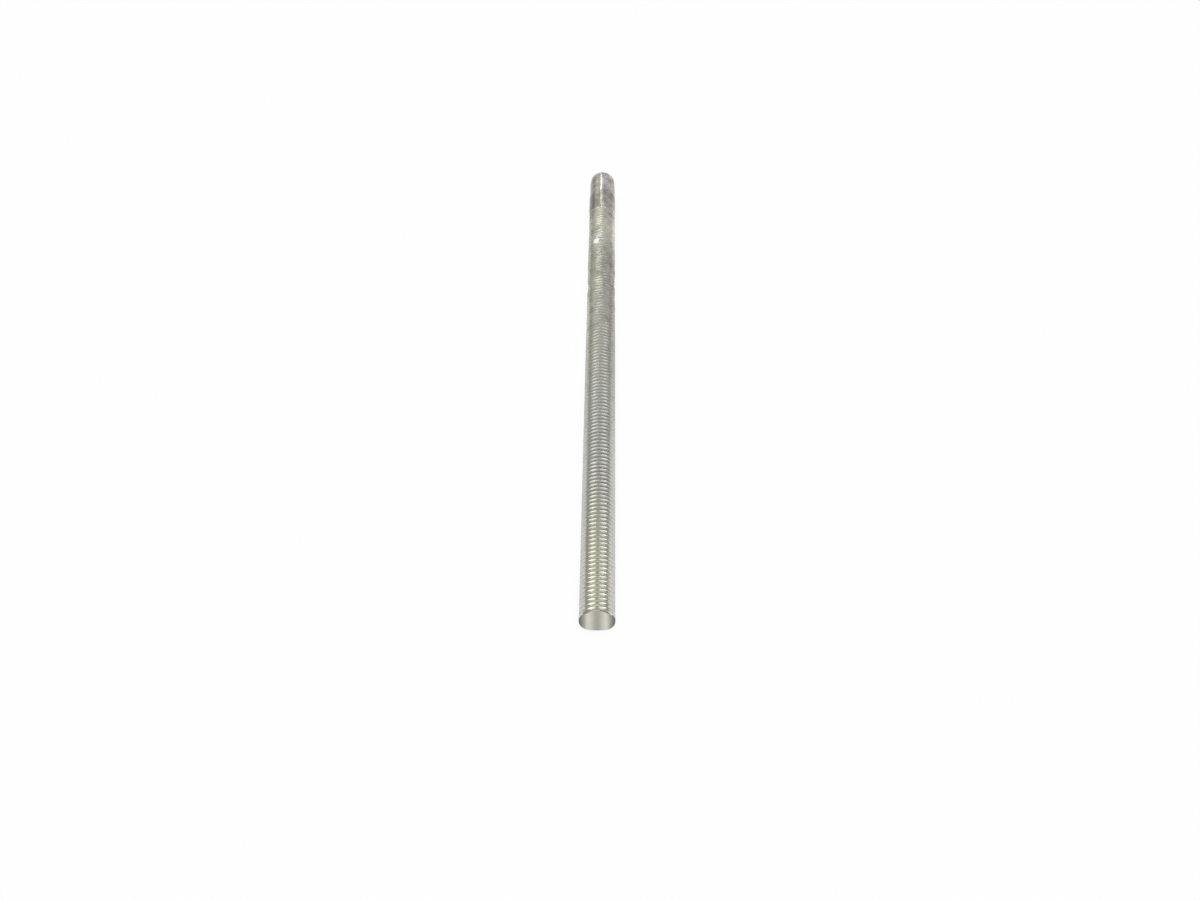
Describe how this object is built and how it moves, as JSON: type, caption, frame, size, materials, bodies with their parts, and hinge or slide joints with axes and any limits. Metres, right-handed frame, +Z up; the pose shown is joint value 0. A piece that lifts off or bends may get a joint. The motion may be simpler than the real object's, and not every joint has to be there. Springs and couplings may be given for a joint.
{
  "type": "threaded rod",
  "caption": "Steel rod with a coarse right-hand metric thread over most of its length, a flat cut end and a short plain end with a rounded tip.",
  "frame": {"origin": "on the surface that the rod lies on, under the middle of its length and its axis", "axes": "+Y along the rod, from the cut threaded end to the plain end; +Z up"},
  "size_m": [0.0118, 0.25, 0.0118],
  "materials": {
    "steel": "bright zinc-tinted steel, satin on the thread's flanks, scuffed on the plain end and torn at the cut end"
  },
  "bodies": {
    "root": {"threaded_rod": "steel"}
  },
  "joints": []
}
